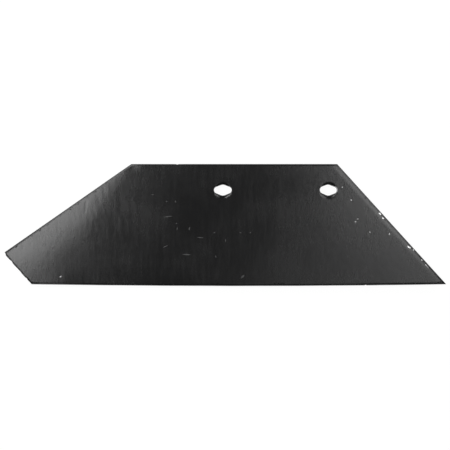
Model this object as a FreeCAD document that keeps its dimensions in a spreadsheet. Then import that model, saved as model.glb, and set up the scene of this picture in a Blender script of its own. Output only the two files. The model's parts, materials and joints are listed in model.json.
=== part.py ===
"""Right-hand share of a mouldboard plough: one plate of hard steel, sheared, punched and bevelled.

Frame: millimetres. The back face lies on the XY plane and the front face looks along +Z.
+X runs from the wing to the landside, where the point of the share is, and +Y runs from the
cutting edge to the top edge, which meets the mouldboard. The origin is midway between the two
bolt holes, on the back face.
"""

import FreeCAD, Part

import math
import os

import Sketcher

Vector = FreeCAD.Vector

# Driving dimensions: alias, value, what it measures. Lengths in millimetres, angles in degrees.
SIZES = [
    ("thickness", 10.0, "plate, back face to front face"),
    ("blade_width", 136.6, "top edge to the chord of the cutting edge"),
    ("edge_length", 471.1, "chord of the cutting edge, corner to point"),
    ("edge_bow", 2.0, "how far the cutting edge bulges past its chord"),
    ("top_length", 234.0, "top edge, corner to corner"),
    ("landside_angle", 47.8, "landside cut to the top edge; the wing is cut off parallel to it"),
    ("wing_angle", 34.8, "slanting edge of the wing to the top edge"),
    ("bolt_spacing", 120.0, "between the two bolt holes"),
    ("bolt_setback", 29.5, "top edge to the line of the holes"),
    ("landside_setback", 36.7, "last hole to the landside cut, along the line of the holes"),
    ("bolt_diameter", 12.0, "shank of the plough bolt"),
    ("bolt_clearance", 0.25, "hole to shank, all round"),
    ("nib_span", 20.2, "hole from end to end, across both nib slots"),
    ("nib_width", 8.2, "rounded end of a nib slot"),
    ("seat_diameter", 18.6, "countersunk seat of the bolt head, at the front face"),
    ("seat_angle", 90.0, "full angle of the seat"),
    ("seat_drift", 0.7, "seats lie this far off their holes, towards the cutting edge"),
    ("bevel_width", 35.0, "bevel on the back, from the chord of the cutting edge"),
    ("edge_thickness", 4.5, "what the bevel leaves at the chord"),
    ("drawn_radius", 2.5, "front corner, drawn down all round by the shear and the rolls"),
    ("tear_depth", 1.7, "how far the torn wing end falls short of a clean cut"),
    ("nick_width", 2.6, "mouth of a nick in the top edge or the cutting edge"),
    ("nick_depth", 0.7, "how far a nick reaches in"),
]
size = {alias: value for alias, value, note in SIZES}

# The torn line of the wing end, from the cutting edge up: how far along the cut, as a share of its
# length, and how deep, as a share of tear_depth.
TORN_LINE = [
    (-0.03, 0.12), (0.05, 0.35), (0.12, 0.10), (0.18, 0.58), (0.22, 0.02),
    (0.34, 0.06), (0.39, 0.40), (0.50, 0.28), (0.61, 0.02), (0.66, 0.14),
    (0.72, 0.66), (0.79, 0.22), (0.91, 0.10), (0.95, 0.95), (1.03, 1.00),
]

# Nicks: how far they lie from the origin along their edge, as shares of the bolt spacing.
TOP_NICK = -0.93
EDGE_NICK = 0.85

# How far the outline of a cut runs past the plate, so that no skin is left.
RUN_OUT = 5.0

# Where the outline's corners lie, as expressions of the sheet.
TOP_LINE = "Sizes.bolt_setback"
CHORD_LINE = "(Sizes.bolt_setback - Sizes.blade_width)"
LANDSIDE_CORNER = (
    "(Sizes.bolt_spacing / 2 + Sizes.landside_setback"
    " - Sizes.bolt_setback / tan(Sizes.landside_angle * 1 deg))"
)
WING_FOOT = (
    f"({LANDSIDE_CORNER} + Sizes.blade_width / tan(Sizes.landside_angle * 1 deg) - Sizes.edge_length)"
)
WING_CUT = (
    f"(({WING_FOOT} - {LANDSIDE_CORNER} + Sizes.top_length"
    " + Sizes.blade_width / tan(Sizes.wing_angle * 1 deg))"
    " / (cos(Sizes.landside_angle * 1 deg)"
    " + sin(Sizes.landside_angle * 1 deg) / tan(Sizes.wing_angle * 1 deg)))"
)

doc = FreeCAD.newDocument("PloughShare")


def make_sheet():
    """The spreadsheet that every feature is bound to."""
    sheet = doc.addObject("Spreadsheet::Sheet", "Sizes")
    for row, (alias, value, note) in enumerate(SIZES, start=1):
        sheet.set(f"A{row}", alias)
        sheet.set(f"B{row}", str(value))
        sheet.setAlias(f"B{row}", alias)
        sheet.set(f"C{row}", note)
    doc.recompute()


def origin_feature(body, role):
    return next(f for f in body.Origin.OriginFeatures if f.Role == role)


def new_sketch(body, name, role):
    """A sketch on one of the body's own origin planes."""
    sketch = body.newObject("Sketcher::SketchObject", name)
    sketch.AttachmentSupport = [(origin_feature(body, role), "")]
    sketch.MapMode = "FlatFace"
    return sketch


def tie(sketch, *constraint):
    return sketch.addConstraint(Sketcher.Constraint(*constraint))


def measure(sketch, name, expression, *constraint):
    """A dimension of the sketch that follows the sheet."""
    sketch.renameConstraint(tie(sketch, *constraint), name)
    sketch.setExpression(f"Constraints.{name}", expression)


def new_cut(body, name, sketch, length):
    """A Pocket that cuts equally far to both sides of its sketch."""
    cut = body.newObject("PartDesign::Pocket", name)
    cut.Profile = sketch
    cut.SideType = "Symmetric"
    cut.setExpression("Length", length)
    return cut


def edges_where(feature, wanted):
    """Names of the feature's edges that pass a test."""
    return [f"Edge{i}" for i, edge in enumerate(feature.Shape.Edges, start=1) if wanted(edge)]


def outline(body):
    """The share's outline: four sheared edges and the bowed cutting edge."""
    angle = math.radians(size["landside_angle"])
    slant = math.radians(size["wing_angle"])
    top = size["bolt_setback"]
    chord = top - size["blade_width"]
    corner = size["bolt_spacing"] / 2 + size["landside_setback"] - top / math.tan(angle)
    landside_top = Vector(corner, top)
    wing_top = Vector(corner - size["top_length"], top)
    point = Vector(corner + size["blade_width"] / math.tan(angle), chord)
    wing_foot = point - Vector(size["edge_length"], 0)
    lowest = (point + wing_foot) / 2 - Vector(0, size["edge_bow"])
    reach = (wing_foot.x - wing_top.x) + size["blade_width"] / math.tan(slant)
    wing_cut = reach / (math.cos(angle) + math.sin(angle) / math.tan(slant))
    wing_tip = wing_foot + Vector(-math.cos(angle), math.sin(angle)) * wing_cut

    sketch = new_sketch(body, "Outline", "XY_Plane")
    edge = sketch.addGeometry(Part.Arc(wing_foot, lowest, point), False)
    landside = sketch.addGeometry(Part.LineSegment(point, landside_top), False)
    top_edge = sketch.addGeometry(Part.LineSegment(landside_top, wing_top), False)
    wing = sketch.addGeometry(Part.LineSegment(wing_tip, wing_top), False)
    wing_end = sketch.addGeometry(Part.LineSegment(wing_foot, wing_tip), False)

    tie(sketch, "Coincident", edge, 2, landside, 1)
    tie(sketch, "Coincident", landside, 2, top_edge, 1)
    tie(sketch, "Coincident", top_edge, 2, wing, 2)
    tie(sketch, "Coincident", wing, 1, wing_end, 2)
    tie(sketch, "Coincident", wing_end, 1, edge, 1)
    tie(sketch, "Horizontal", top_edge)
    tie(sketch, "Horizontal", edge, 1, edge, 2)
    tie(sketch, "Parallel", wing_end, landside)

    measure(sketch, "setback", TOP_LINE, "DistanceY", -1, 1, top_edge, 1, top)
    measure(sketch, "corner", LANDSIDE_CORNER, "DistanceX", -1, 1, top_edge, 1, corner)
    measure(sketch, "top", "Sizes.top_length", "DistanceX", top_edge, 2, top_edge, 1, size["top_length"])
    measure(sketch, "width", "Sizes.blade_width", "DistanceY", edge, 2, top_edge, 1, size["blade_width"])
    measure(sketch, "chord", "Sizes.edge_length", "DistanceX", edge, 1, edge, 2, size["edge_length"])
    measure(sketch, "landside", "(180 - Sizes.landside_angle) * 1 deg", "Angle", landside, math.pi - angle)
    measure(sketch, "slant", "Sizes.wing_angle * 1 deg", "Angle", wing, slant)
    bow = "(Sizes.edge_length ^ 2 / 4 + Sizes.edge_bow ^ 2) / (2 * Sizes.edge_bow)"
    measure(sketch, "bow", bow, "Radius", edge, sketch.Geometry[edge].Radius)
    return sketch


def plate(body):
    """The sheared plate, with its back face on the XY plane."""
    pad = body.newObject("PartDesign::Pad", "Plate")
    pad.Profile = outline(body)
    pad.setExpression("Length", "Sizes.thickness")
    doc.recompute()
    return pad


def back_bevel(body):
    """The wedge ground off the back, all along the cutting edge."""
    rise = size["thickness"] - size["edge_thickness"]
    start = size["bolt_setback"] - size["blade_width"] + size["bevel_width"]
    run = size["bevel_width"] + size["edge_bow"] + RUN_OUT
    heel = Vector(start, 0)
    toe = Vector(start - run, rise * run / size["bevel_width"])

    sketch = new_sketch(body, "BevelProfile", "YZ_Plane")
    slope = sketch.addGeometry(Part.LineSegment(heel, toe), False)
    drop = sketch.addGeometry(Part.LineSegment(toe, Vector(toe.x, 0)), False)
    base = sketch.addGeometry(Part.LineSegment(Vector(toe.x, 0), heel), False)
    tie(sketch, "Coincident", slope, 2, drop, 1)
    tie(sketch, "Coincident", drop, 2, base, 1)
    tie(sketch, "Coincident", base, 2, slope, 1)
    tie(sketch, "Vertical", drop)
    tie(sketch, "PointOnObject", base, 1, -1)
    tie(sketch, "PointOnObject", base, 2, -1)
    run_text = f"(Sizes.bevel_width + Sizes.edge_bow + {RUN_OUT})"
    rise_text = f"(Sizes.thickness - Sizes.edge_thickness) * {run_text} / Sizes.bevel_width"
    measure(sketch, "heel", f"-{CHORD_LINE} - Sizes.bevel_width", "DistanceX", slope, 1, -1, 1, -start)
    measure(sketch, "run", run_text, "DistanceX", slope, 2, slope, 1, run)
    measure(sketch, "rise", rise_text, "DistanceY", drop, 2, drop, 1, toe.y)
    cut = new_cut(body, "BackBevel", sketch, "2 * Sizes.edge_length")
    doc.recompute()
    return cut


def drawn_edges(body, blank):
    """The front corner all round the plate, rounded over."""
    def on_front(edge):
        return all(abs(vertex.Z - size["thickness"]) < 1e-6 for vertex in edge.Vertexes)

    fillet = body.newObject("PartDesign::Fillet", "DrawnEdges")
    fillet.Base = (blank, edges_where(blank, on_front))
    fillet.setExpression("Radius", "Sizes.drawn_radius")
    doc.recompute()
    return fillet


def nib_hole(body):
    """The bolt holes: round for the shank, and drawn out to a rounded slot for a nib at either side."""
    middle = -size["bolt_spacing"] / 2
    shank = size["bolt_diameter"] / 2 + size["bolt_clearance"]
    nib = size["nib_width"] / 2
    offset = size["nib_span"] / 2 - nib
    lean = math.asin((shank - nib) / offset)

    sketch = new_sketch(body, "NibHoleProfile", "XY_Plane")
    up, out = math.pi / 2, Vector(0, 0, 1)
    crowns, ends = [], []
    for turn in (0, math.pi):
        crown = Part.Circle(Vector(middle, 0), out, shank)
        crowns.append(sketch.addGeometry(Part.ArcOfCircle(crown, turn + up - lean, turn + up + lean), False))
        end = Part.Circle(Vector(middle + offset * math.cos(turn), 0), out, nib)
        ends.append(sketch.addGeometry(Part.ArcOfCircle(end, turn - up + lean, turn + up - lean), False))
    for end, crown, end_tip, crown_tip in ((0, 0, 2, 1), (1, 0, 1, 2), (1, 1, 2, 1), (0, 1, 1, 2)):
        end, crown = ends[end], crowns[crown]
        tips = [sketch.getPoint(end, end_tip), sketch.getPoint(crown, crown_tip)]
        flank = sketch.addGeometry(Part.LineSegment(*tips), False)
        tie(sketch, "Tangent", flank, 1, end, end_tip)
        tie(sketch, "Tangent", flank, 2, crown, crown_tip)
    tie(sketch, "Coincident", crowns[0], 3, crowns[1], 3)
    tie(sketch, "Equal", *crowns)
    tie(sketch, "Equal", *ends)
    tie(sketch, "PointOnObject", crowns[0], 3, -1)
    tie(sketch, "PointOnObject", ends[0], 3, -1)
    tie(sketch, "Symmetric", ends[0], 3, ends[1], 3, crowns[0], 3)
    measure(sketch, "place", "Sizes.bolt_spacing / 2", "DistanceX", crowns[0], 3, -1, 1, -middle)
    measure(sketch, "shank", "Sizes.bolt_diameter / 2 + Sizes.bolt_clearance", "Radius", crowns[0], shank)
    measure(sketch, "nib", "Sizes.nib_width / 2", "Radius", ends[0], nib)
    span = "Sizes.nib_span - Sizes.nib_width"
    measure(sketch, "span", span, "DistanceX", ends[1], 3, ends[0], 3, 2 * offset)
    return new_cut(body, "NibHole", sketch, f"2 * Sizes.thickness + {RUN_OUT}")


def bolt_holes(body):
    """Both nib holes, as one pattern, and the seats of the bolt heads."""
    hole = nib_hole(body)
    doc.recompute()
    pattern = body.newObject("PartDesign::LinearPattern", "NibHoles")
    pattern.Originals = [hole]
    pattern.Direction = (origin_feature(body, "X_Axis"), [""])
    pattern.setExpression("Length", "Sizes.bolt_spacing")
    pattern.Occurrences = 2
    body.Tip = pattern
    doc.recompute()

    sketch = new_sketch(body, "SeatCentres", "XY_Plane")
    sketch.setExpression("AttachmentOffset.Base.z", "Sizes.thickness")
    for side, name in ((-1, "wing_seat"), (1, "landside_seat")):
        centre = Vector(side * size["bolt_spacing"] / 2, -size["seat_drift"])
        ring = sketch.addGeometry(Part.Circle(centre, Vector(0, 0, 1), size["bolt_diameter"] / 2), False)
        ends = (ring, 3, -1, 1) if side < 0 else (-1, 1, ring, 3)
        measure(sketch, name, "Sizes.bolt_spacing / 2", "DistanceX", *ends, size["bolt_spacing"] / 2)
        measure(sketch, name + "_drop", "Sizes.seat_drift", "DistanceY", ring, 3, -1, 1, size["seat_drift"])
        measure(sketch, name + "_ring", "Sizes.bolt_diameter", "Diameter", ring, size["bolt_diameter"])
    doc.recompute()
    seats = body.newObject("PartDesign::Hole", "HeadSeats")
    seats.Profile = sketch
    seats.DepthType = "ThroughAll"
    seats.HoleCutType = "Countersink"
    seats.HoleCutCustomValues = True
    # The seat's own bore stays inside the nib hole, so only the cone cuts.
    seats.setExpression("Diameter", "Sizes.bolt_diameter - 2 * Sizes.seat_drift")
    seats.setExpression("HoleCutDiameter", "Sizes.seat_diameter")
    seats.setExpression("HoleCutCountersinkAngle", "Sizes.seat_angle * 1 deg")
    doc.recompute()
    return seats


def add_bite(sketch, name, along, line, width, depth, side=1):
    """A round bite into the edge that lies on a line; the metal is below it, or above where side is -1."""
    ring = sketch.addGeometry(Part.Circle(Vector(0, side), Vector(0, 0, 1), 1), False)
    radius = f"((({width}) ^ 2 / 4 + ({depth}) ^ 2) / (2 * ({depth})))"
    measure(sketch, name + "_along", along, "DistanceX", -1, 1, ring, 3, 0.0)
    out = f"{line} + {side} * ({radius} - ({depth}))"
    measure(sketch, name + "_out", out, "DistanceY", -1, 1, ring, 3, side)
    measure(sketch, name + "_round", radius, "Radius", ring, 1.0)


def torn_end(body):
    """The wing end, where the plate tore along a ragged line instead of shearing clean."""
    sketch = new_sketch(body, "TornLine", "XY_Plane")
    sketch.setExpression("AttachmentOffset.Base.x", WING_FOOT)
    sketch.setExpression("AttachmentOffset.Base.y", CHORD_LINE)
    sketch.AttachmentOffset.Rotation = FreeCAD.Rotation(Vector(0, 0, 1), 180 - size["landside_angle"])
    sketch.setExpression("AttachmentOffset.Rotation.Angle", "(180 - Sizes.landside_angle) * 1 deg")

    # The ragged line from the foot up, then back down outside the plate.
    first, last = TORN_LINE[0][0], TORN_LINE[-1][0]
    ragged = [(place, f"-{depth} * Sizes.tear_depth", -1) for place, depth in TORN_LINE]
    corners = ragged + [(last, f"{RUN_OUT}", RUN_OUT), (first, f"{RUN_OUT}", RUN_OUT)]
    guess = [Vector(place * size["blade_width"] / 2, out) for place, depth, out in corners]
    sides = [
        sketch.addGeometry(Part.LineSegment(start, end), False)
        for start, end in zip(guess, guess[1:] + guess[:1])
    ]
    for i, (place, depth, out) in enumerate(corners):
        tie(sketch, "Coincident", sides[i - 1], 2, sides[i], 1)
        measure(sketch, f"along{i}", f"{place} * {WING_CUT}", "DistanceX", -1, 1, sides[i], 1, guess[i].x)
        measure(sketch, f"depth{i}", depth, "DistanceY", -1, 1, sides[i], 1, out)
    cut = new_cut(body, "TornEnd", sketch, f"2 * Sizes.thickness + {RUN_OUT}")
    doc.recompute()
    return cut


def nicks(body):
    """One small nick in the top edge and one in the cutting edge."""
    sketch = new_sketch(body, "NickOutlines", "XY_Plane")
    mouth = ("Sizes.nick_width", "Sizes.nick_depth")
    add_bite(sketch, "top_nick", f"{TOP_NICK} * Sizes.bolt_spacing", TOP_LINE, *mouth)
    place = f"({EDGE_NICK} * Sizes.bolt_spacing)"
    from_middle = f"(2 * ({place} - {WING_FOOT}) / Sizes.edge_length - 1)"
    bowed = f"({CHORD_LINE} - Sizes.edge_bow * (1 - {from_middle} ^ 2))"
    add_bite(sketch, "edge_nick", place, bowed, *mouth, side=-1)
    cut = new_cut(body, "Nicks", sketch, f"2 * Sizes.thickness + {RUN_OUT}")
    doc.recompute()
    return cut


def share_blade():
    """The whole share, which is a single plate."""
    body = doc.addObject("PartDesign::Body", "ShareBlade")
    body.Label = "share_blade"
    plate(body)
    drawn_edges(body, back_bevel(body))
    bolt_holes(body)
    torn_end(body)
    body.Tip = nicks(body)
    return body


def check(body):
    """Stops if any object failed, if a cut took nothing away or if the plate fell apart."""
    for thing in doc.Objects:
        if "Invalid" in thing.State or "Error" in thing.State:
            raise RuntimeError(f"{thing.Label}: {thing.State}")
    for thing in body.Group:
        if thing.isDerivedFrom("PartDesign::Feature") and thing.BaseFeature:
            if thing.Shape.Volume >= thing.BaseFeature.Shape.Volume:
                raise RuntimeError(f"{thing.Label} takes no metal away")
    shape = body.Shape
    if shape.isNull() or not shape.isValid() or len(shape.Solids) != 1:
        raise RuntimeError(f"{body.Label} is not one valid solid")


make_sheet()
blade = share_blade()
doc.recompute()
check(blade)
os.makedirs("parts", exist_ok=True)
blade.Shape.exportStep(f"parts/{blade.Label}.step")
box = blade.Shape.BoundBox
print(f"{blade.Label}: {box.XLength:.2f} x {box.YLength:.2f} x {box.ZLength:.2f} mm,"
      f" {blade.Shape.Volume / 1000:.1f} cm3, {len(blade.Shape.Faces)} faces")
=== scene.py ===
"""Share of a mouldboard plough under old black paint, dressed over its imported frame.

Metres, in the frame's own axes: the back lies on the ground, +X runs from the wing to the point,
+Y from the cutting edge to the top edge, and the origin is midway between the bolt holes.
"""

import json
import math

import bmesh
import bpy
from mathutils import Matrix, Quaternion, Vector, noise


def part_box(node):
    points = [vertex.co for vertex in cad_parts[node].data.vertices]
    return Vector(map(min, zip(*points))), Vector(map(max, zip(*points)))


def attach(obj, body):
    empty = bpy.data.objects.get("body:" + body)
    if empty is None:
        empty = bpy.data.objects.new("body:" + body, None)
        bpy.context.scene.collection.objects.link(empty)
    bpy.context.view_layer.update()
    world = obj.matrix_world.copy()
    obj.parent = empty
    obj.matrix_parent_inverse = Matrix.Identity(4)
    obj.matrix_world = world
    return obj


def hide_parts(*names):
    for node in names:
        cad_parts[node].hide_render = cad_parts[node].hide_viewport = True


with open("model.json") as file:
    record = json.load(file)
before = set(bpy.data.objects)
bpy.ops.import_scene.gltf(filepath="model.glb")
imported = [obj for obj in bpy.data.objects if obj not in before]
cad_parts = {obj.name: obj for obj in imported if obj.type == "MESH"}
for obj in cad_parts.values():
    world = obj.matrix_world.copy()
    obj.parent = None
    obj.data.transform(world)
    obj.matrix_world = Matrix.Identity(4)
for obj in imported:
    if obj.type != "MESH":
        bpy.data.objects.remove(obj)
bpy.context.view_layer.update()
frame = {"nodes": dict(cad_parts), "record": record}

MM = 0.001
NODE = "share_blade"
LOW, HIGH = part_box(NODE)
FACE = HIGH.z

# The plate as a mesh.
FACET = 2.0 * MM            # triangle sides on the front face
BACK_FACET = 12 * MM        # and elsewhere
MERGE = 1e-6
FLAT = math.radians(1)
CREST = math.radians(32)    # edges sharper than this stay sharp
SINK_REACH = 6 * MM         # how far down the plate's thickness a dent in the face is felt

# Marks in the wing.
PUCKERS = Vector((-0.192, -0.022))
CREASE_START = Vector((-0.2150, -0.0125))
CREASE_END = Vector((-0.2165, -0.0255))
CREASE_DEPTH = 0.12 * MM
CREASE_WIDTH = 0.9 * MM

# Where the holes are, from the record's bolt pattern.
BOLTS = next(m for m in frame["record"]["mounts"] if m["name"] == "bolt_holes")
HOLE_X = BOLTS["dims"]["spacing_x_mm"] / 2 * MM


def corner(toward):
    """The plate's outermost corner in a direction."""
    toward = Vector((*toward, 0)).normalized()
    return max((v.co for v in frame["nodes"][NODE].data.vertices), key=toward.dot).copy()


WING_TOP = corner((-0.3, 1))
LANDSIDE_TOP = corner((0.6, 1))
POINT = corner((1, 0))
WING_FOOT = corner((-1, -1.2))
WING_TIP = corner((-1, 0))


class Edge:
    """A straight edge of the outline, which measures how far inside the plate a place lies."""

    def __init__(self, start, end):
        self.start = start
        self.along = (end - start).to_2d().normalized()
        self.length = (end - start).to_2d().length
        self.inward = Vector((-self.along.y, self.along.x))

    def depth(self, x, y):
        return (Vector((x, y)) - self.start.to_2d()).dot(self.inward)

    def place(self, x, y):
        """How far along the edge, from 0 to 1."""
        return (Vector((x, y)) - self.start.to_2d()).dot(self.along) / self.length


WING = Edge(WING_TOP, WING_TIP)
LANDSIDE = Edge(POINT, LANDSIDE_TOP)
CUTTING = Edge(WING_FOOT, POINT)


# ---------------------------------------------------------------- the plate's shape

def clamp(value):
    return min(max(value, 0.0), 1.0)


def smooth(value):
    value = clamp(value)
    return value * value * (3 - 2 * value)


def drawn_down(depth, width, steepness):
    """How far the face falls towards an edge: a parabola over the drawn width."""
    if depth >= width:
        return 0.0
    return steepness * width / 2 * (1 - max(depth, 0.0) / width) ** 2


def wing_fall(x, y):
    """The wing, drawn down towards its slanting edge: wide at the tip and narrow at the top."""
    width = (10 + 34 * smooth(WING.place(x, y) * 1.6)) * MM
    rim = drawn_down(WING.depth(x, y), 5 * MM, 0.12)
    return drawn_down(WING.depth(x, y), width, 0.09) + rim


def landside_fall(x, y):
    return drawn_down(LANDSIDE.depth(x, y), 7 * MM, 0.20)


def edge_fall(x, y):
    """The face turned down to the cutting edge, along the wing half only."""
    share = smooth((x - WING_FOOT.x - 20 * MM) / (50 * MM)) * smooth((-0.02 - x) / 0.09)
    return drawn_down(CUTTING.depth(x, y), 26 * MM, 0.09) * share


def corner_fall(x, y):
    """The wing's top corner, knocked down."""
    away = (Vector((x, y)) - WING_TOP.to_2d()).length
    return drawn_down(away, 14 * MM, 0.10)


def ripples(x, y):
    """Slow hollows left by the rolls."""
    slow = noise.noise(Vector((x / 0.09, y / 0.06, 1.7)))
    quick = noise.noise(Vector((x / 0.03, y / 0.045, 8.1)))
    return (0.11 * (1 + slow) + 0.025 * (1 + quick)) * MM


def wrinkles(x, y):
    """Short puckers in the wing, where the plate was drawn hardest."""
    nearness = smooth(1.3 - (Vector((x, y)) - PUCKERS).length / (45 * MM))
    fold = noise.noise(Vector((x / 0.0045 + 0.25 * y / 0.0045, y / 0.012, 3.3)))
    return 0.045 * MM * (1 + fold) * (0.15 + nearness)


def crease(x, y):
    """One short crack-like fold near the wing's edge."""
    along = CREASE_END - CREASE_START
    run = clamp((Vector((x, y)) - CREASE_START).dot(along) / along.length_squared)
    away = (Vector((x, y)) - CREASE_START.lerp(CREASE_END, run)).length
    return CREASE_DEPTH * math.exp(-(away / CREASE_WIDTH) ** 2)


def sink(x, y):
    falls = (wing_fall(x, y), landside_fall(x, y), edge_fall(x, y), corner_fall(x, y))
    return sum(falls) + ripples(x, y) + wrinkles(x, y) + crease(x, y)


def cut_fine(bm):
    """Splits edges in halving passes, down to FACET on the face, and evens out the flat triangles."""
    passes = math.ceil(math.log2(max(edge.calc_length() for edge in bm.edges) / FACET))
    for left in reversed(range(passes)):
        fine = FACET * 2 ** left
        coarse = max(fine, BACK_FACET)
        long_edges = [
            edge for edge in bm.edges
            if edge.calc_length() > (fine if all(v.co.z > FACE - MERGE for v in edge.verts) else coarse)
        ]
        bmesh.ops.subdivide_edges(bm, edges=long_edges, cuts=1)
        bmesh.ops.triangulate(bm, faces=[face for face in bm.faces if len(face.verts) > 3])
        flat = [edge for edge in bm.edges if edge.is_manifold and edge.calc_face_angle() < FLAT]
        bmesh.ops.beautify_fill(bm, faces=bm.faces[:], edges=flat)


def share_plate():
    """The CAD plate again, merged and cut fine, with its worn and uneven face."""
    bm = bmesh.new()
    bm.from_mesh(frame["nodes"][NODE].data)
    bmesh.ops.remove_doubles(bm, verts=bm.verts, dist=MERGE)
    cut_fine(bm)
    for vert in bm.verts:
        felt = smooth(1 - (FACE - vert.co.z) / SINK_REACH)
        if felt > 0:
            vert.co.z -= sink(vert.co.x, vert.co.y) * felt
    mesh = bpy.data.meshes.new("plough_share")
    bm.to_mesh(mesh)
    bm.free()
    mesh.shade_smooth()
    mesh.set_sharp_from_angle(angle=CREST)
    share = bpy.data.objects.new("plough_share", mesh)
    bpy.context.scene.collection.objects.link(share)
    return share


# ---------------------------------------------------------------- materials

class Value:
    """A socket of a material's nodes. Arithmetic on it adds Math nodes."""

    def __init__(self, tree, socket):
        self.tree = tree
        self.socket = socket

    def node(self, kind, settings=None, inputs=None, output=0):
        """Adds a node: its settings are set first, then its sockets get values or links."""
        added = self.tree.nodes.new(kind)
        for name, setting in (settings or {}).items():
            setattr(added, name, setting)
        for name, given in (inputs or {}).items():
            if isinstance(given, Value):
                self.tree.links.new(given.socket, added.inputs[name])
            else:
                added.inputs[name].default_value = given
        return Value(self.tree, added.outputs[output]) if added.outputs else added

    def math(self, operation, *terms):
        return self.node("ShaderNodeMath", {"operation": operation}, dict(enumerate(terms)))

    def __add__(self, other):
        return self.math("ADD", self, other)

    def __radd__(self, other):
        return self.math("ADD", other, self)

    def __sub__(self, other):
        return self.math("SUBTRACT", self, other)

    def __rsub__(self, other):
        return self.math("SUBTRACT", other, self)

    def __mul__(self, other):
        return self.math("MULTIPLY", self, other)

    def __rmul__(self, other):
        return self.math("MULTIPLY", other, self)

    def rise(self, low, high):
        """0 below low, 1 above high, smooth between. With low above high it falls."""
        kind = {"interpolation_type": "SMOOTHSTEP"}
        ends = {0: self, "From Min": low, "From Max": high}
        return self.node("ShaderNodeMapRange", kind, ends)

    def scaled(self, x, y, z):
        """Coordinates divided by a pattern's size along each axis."""
        return self.node(
            "ShaderNodeVectorMath", {"operation": "MULTIPLY"}, {0: self, 1: (1 / x, 1 / y, 1 / z)}
        )

    def speckle(self, detail=2.0, roughness=0.5, distortion=0.0):
        """Cloudy noise, about one blotch to a unit of the coordinates."""
        inputs = {"Vector": self, "Scale": 1.0, "Detail": detail, "Roughness": roughness}
        return self.node("ShaderNodeTexNoise", None, {**inputs, "Distortion": distortion})

    def spot(self, x, y, length, width, turn):
        """1 in the middle of a long spot and 0 at its rim and beyond; sizes in millimetres, turn in degrees."""
        local = self.node(
            "ShaderNodeMapping",
            {"vector_type": "TEXTURE"},
            {
                "Vector": self,
                "Location": (x * MM, y * MM, FACE),
                "Rotation": (0, 0, math.radians(turn)),
                "Scale": (length / 2 * MM, width / 2 * MM, 4 * MM),
            },
        )
        away = self.node("ShaderNodeVectorMath", {"operation": "LENGTH"}, {0: local}, "Value")
        return 1.0 - away

    def blend(self, one, other):
        """Two colours mixed by this value."""
        ends = [end if isinstance(end, Value) else (*end, 1.0) for end in (one, other)]
        return self.node("ShaderNodeMix", {"data_type": "RGBA"}, {0: self, 6: ends[0], 7: ends[1]}, 2)


def new_material(name):
    """A bare material, and the object's own coordinates in it."""
    material = bpy.data.materials.new(name)
    material.use_nodes = True
    tree = material.node_tree
    tree.nodes.clear()
    return material, Value(tree, None).node("ShaderNodeTexCoord", output="Object")


def finish_with(place, shader):
    place.node("ShaderNodeOutputMaterial", None, {"Surface": shader})


# Chips and scrapes in the paint: x, y, length, width in millimetres, turn in degrees.
CHIPS = [
    (-243.9, -98.1, 4.5, 1.8, 15),
    (118.0, -27.0, 5.0, 2.2, -45),
    (121.5, -32.0, 3.0, 1.8, -45),
    (151.0, -65.0, 7.0, 3.0, -35),
    (156.0, -68.0, 3.0, 1.6, -48),
    (165.5, -79.5, 3.2, 1.4, -48),
    (171.0, -86.0, 9.0, 1.3, -50),
    (75.5, 3.3, 2.0, 1.6, 0),
    (85.5, -11.5, 2.2, 1.6, 0),
    (90.6, -36.0, 2.4, 2.0, 0),
    (93.0, -33.0, 2.6, 1.2, 10),
    (106.7, -47.7, 1.6, 1.4, 0),
    (129.0, -50.0, 2.4, 1.8, 40),
]

# Rubbed and scratched spots that did not reach the metal, in the same terms.
SCUFFS = [
    (-139.6, -5.2, 3.5, 1.2, 5),
    (-123.7, -13.2, 2.5, 2.0, 0),
    (-113.6, -13.2, 2.0, 2.8, 0),
    (-122.0, -30.2, 12.0, 1.4, 6),
    (-85.5, -54.0, 9.0, 1.3, -3),
    (-112.5, -38.0, 1.8, 1.8, 0),
    (-111.8, -44.0, 1.3, 5.0, -12),
    (-97.8, -43.8, 2.0, 5.0, -15),
    (-69.5, -48.4, 2.2, 1.8, 0),
    (-40.0, -48.4, 2.0, 1.8, 0),
    (-28.7, -48.4, 2.0, 1.8, 0),
    (-57.0, -57.5, 1.3, 4.5, 0),
    (-125.0, -64.0, 7.0, 1.3, 25),
    (-101.0, -73.2, 12.0, 1.8, -4),
    (-68.0, -75.5, 1.4, 3.5, 10),
    (-37.5, -98.2, 6.0, 3.0, 40),
]


def most(values):
    """The greatest of several values."""
    values = list(values)
    while len(values) > 1:
        values = [
            pair[0].math("MAXIMUM", *pair) if len(pair) == 2 else pair[0]
            for pair in (values[i:i + 2] for i in range(0, len(values), 2))
        ]
    return values[0]


# Fans of short runs in the paint about the landside hole.
FAN_BLADES = 22.0           # to a radian
FAN_LENGTH = 6 * MM


def paint_relief(place):
    """Runs and orange peel in the paint, as a height in metres."""
    peel = place.scaled(1.4 * MM, 3.0 * MM, 3.0 * MM).speckle(2.0, 0.6, 0.6)
    broad = place.scaled(6 * MM, 9 * MM, 9 * MM).speckle(1.0)
    grain = place.scaled(0.5 * MM, 0.7 * MM, 0.7 * MM).speckle(1.0)
    fans = place_about(place, HOLE_X, 0).speckle(1.5, 0.5)
    near_hole = place_distance(place, HOLE_X, -0.028).rise(42 * MM, 12 * MM)
    streaks = peel + (fans - 0.5) * near_hole * 0.8
    return streaks * 0.050 * MM + broad * 0.06 * MM + grain * 0.006 * MM


def place_distance(place, x, y):
    """How far a place lies from a point of the face."""
    return place.node(
        "ShaderNodeVectorMath",
        {"operation": "DISTANCE"},
        {0: place.scaled(1, 1, 1e6), 1: (x, y, 0)},
        "Value",
    )


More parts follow.
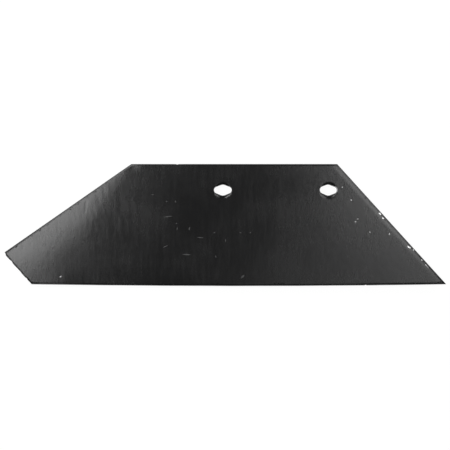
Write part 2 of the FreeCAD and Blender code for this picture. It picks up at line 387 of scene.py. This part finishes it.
def place_about(place, x, y):
    """Coordinates that fan out from a point: around it, and away from it."""
    shifted = place.node(
        "ShaderNodeVectorMath", {"operation": "SUBTRACT"}, {0: place, 1: (x, y, 0)}
    )
    across, down = (place.node("ShaderNodeSeparateXYZ", None, {0: shifted}, i) for i in (0, 1))
    turn = across.math("ARCTAN2", across, down)
    away = place_distance(place, x, y)
    inputs = {0: turn * FAN_BLADES, 1: away * (1 / FAN_LENGTH)}
    return place.node("ShaderNodeCombineXYZ", None, inputs)


def black_paint():
    """Old black paint on rolled steel: peel, dust, scuffs, and chips down to the metal."""
    material, place = new_material("black_paint")
    rag = place.scaled(0.9 * MM, 0.9 * MM, 0.9 * MM).speckle(2.0)
    chips = most(place.spot(*chip) for chip in CHIPS)
    bare = (chips + (rag - 0.5) * 1.2).rise(0.15, 0.4)
    scuffs = most(place.spot(*scuff) for scuff in SCUFFS)
    scuffed = (scuffs + (rag - 0.5) * 1.2).rise(0.0, 0.6)

    cloud = place.scaled(70 * MM, 45 * MM, 45 * MM).speckle(3.0, 0.55)
    streak = place.scaled(3 * MM, 26 * MM, 26 * MM).speckle(3.0, 0.6)
    dust = (cloud * 0.6 + streak * 0.4).rise(0.35, 0.7)
    paint = dust.blend((0.004, 0.004, 0.0042), (0.009, 0.009, 0.0092))
    paint = (scuffed * 0.5).blend(paint, (0.10, 0.10, 0.10))
    colour = bare.blend(paint, (0.42, 0.42, 0.42))

    roughness = 0.24 + dust * 0.05 + scuffed * 0.15
    relief = paint_relief(place) - bare * 0.08 * MM
    bump = place.node(
        "ShaderNodeBump", None, {"Strength": 1.0, "Distance": 1.0, "Height": relief}
    )
    shader = place.node(
        "ShaderNodeBsdfPrincipled",
        None,
        {
            "Base Color": colour,
            "Metallic": bare * 0.7,
            "Roughness": roughness,
            "Normal": bump,
        },
    )
    finish_with(place, shader)
    return material


# ---------------------------------------------------------------- the studio

CAMERA_HEIGHT = 1.0         # above the front face
VIEW_WIDTH = 0.5097         # what the view spans at the front face
VIEW_CENTRE = Vector((-0.05755, -0.03977))
SENSOR = 36.0


def make_camera():
    """Straight above the face, with the cutting edge at the bottom of the view."""
    data = bpy.data.cameras.new("camera")
    data.sensor_width = SENSOR
    data.lens = SENSOR * CAMERA_HEIGHT / VIEW_WIDTH
    camera = bpy.data.objects.new("camera", data)
    camera.location = (*VIEW_CENTRE, FACE + CAMERA_HEIGHT)
    bpy.context.scene.collection.objects.link(camera)
    bpy.context.scene.camera = camera


def softbox(name, x, y, height, width, depth, level, turn=0.0):
    """A soft lamp over the table, facing the plate. Level is its own brightness, white being 1."""
    data = bpy.data.lights.new(name, "AREA")
    data.shape = "RECTANGLE"
    data.size = width
    data.size_y = depth
    data.energy = level * math.pi * width * depth
    lamp = bpy.data.objects.new(name, data)
    lamp.location = (VIEW_CENTRE.x + x, VIEW_CENTRE.y + y, height)
    toward = Vector((*VIEW_CENTRE, 0)) - lamp.location
    facing = toward.to_track_quat("-Z", "Y")
    lamp.rotation_euler = (facing @ Quaternion((0, 0, 1), math.radians(turn))).to_euler()
    bpy.context.scene.collection.objects.link(lamp)


def lights():
    """Softboxes to the left and right over the face, a dim roof between them, and two low ones."""
    softbox("wing_lamp", -0.56, 0.23, 0.90, 0.34, 0.50, 6.1, -28)
    softbox("wing_low_lamp", -0.58, -0.04, 0.90, 0.32, 0.36, 2.6)
    softbox("wing_end_lamp", -0.55, -0.27, 0.90, 0.26, 0.20, 4.0)
    softbox("point_lamp", 0.47, 0.20, 0.90, 0.30, 0.45, 4.3)
    softbox("point_low_lamp", 0.56, -0.06, 0.90, 0.30, 0.35, 2.0)
    softbox("front_lamp", 0.20, -0.20, 0.90, 0.40, 0.30, 0.6)
    softbox("wing_side_lamp", -0.75, 1.00, 0.65, 0.80, 0.60, 6.0)
    softbox("point_side_lamp", 0.95, 0.85, 0.65, 0.70, 0.60, 4.0)


def shown_white(start):
    """1 where the camera, a mirror or glass looks, 0 where light is only gathered."""
    kinds = ("Camera", "Glossy", "Transmission")
    return most(start.node("ShaderNodeLightPath", output=f"Is {kind} Ray") for kind in kinds)


def world_light(ambient):
    """White to the eye, and a dim even light on everything."""
    world = bpy.data.worlds.new("studio")
    world.use_nodes = True
    tree = world.node_tree
    background = tree.nodes["Background"]
    seen = Value(tree, None).node("ShaderNodeLightPath", output="Is Camera Ray")
    tree.links.new((ambient + seen * (1 - ambient)).socket, background.inputs["Strength"])
    background.inputs["Color"].default_value = (1, 1, 1, 1)
    bpy.context.scene.world = world


TABLE_GLOW = 1.05
TABLE_SHOWN = 0.9           # the rest keeps the plate's shadow


def table_top():
    """A wide white table just under the plate, which glows a little to the eye so that it stays white."""
    bm = bmesh.new()
    bmesh.ops.create_grid(bm, x_segments=1, y_segments=1, size=4.0)
    bmesh.ops.translate(bm, verts=bm.verts, vec=(0, 0, LOW.z - 0.2 * MM))
    mesh = bpy.data.meshes.new("table_top")
    bm.to_mesh(mesh)
    bm.free()
    table = bpy.data.objects.new("table_top", mesh)
    bpy.context.scene.collection.objects.link(table)

    material, place = new_material("table_white")
    matt = place.node("ShaderNodeBsdfDiffuse", None, {"Color": (0.85, 0.85, 0.85, 1)})
    glow = place.node("ShaderNodeEmission", None, {"Strength": TABLE_GLOW})
    shown = shown_white(place) * TABLE_SHOWN
    mix = place.node("ShaderNodeMixShader", None, {0: shown, 1: matt, 2: glow})
    finish_with(place, mix)
    mesh.materials.append(material)


share = share_plate()
share.data.materials.append(black_paint())
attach(share, "root")
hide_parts(NODE)

table_top()
lights()
world_light(ambient=0.08)
make_camera()
bpy.context.scene.view_settings.view_transform = "Standard"
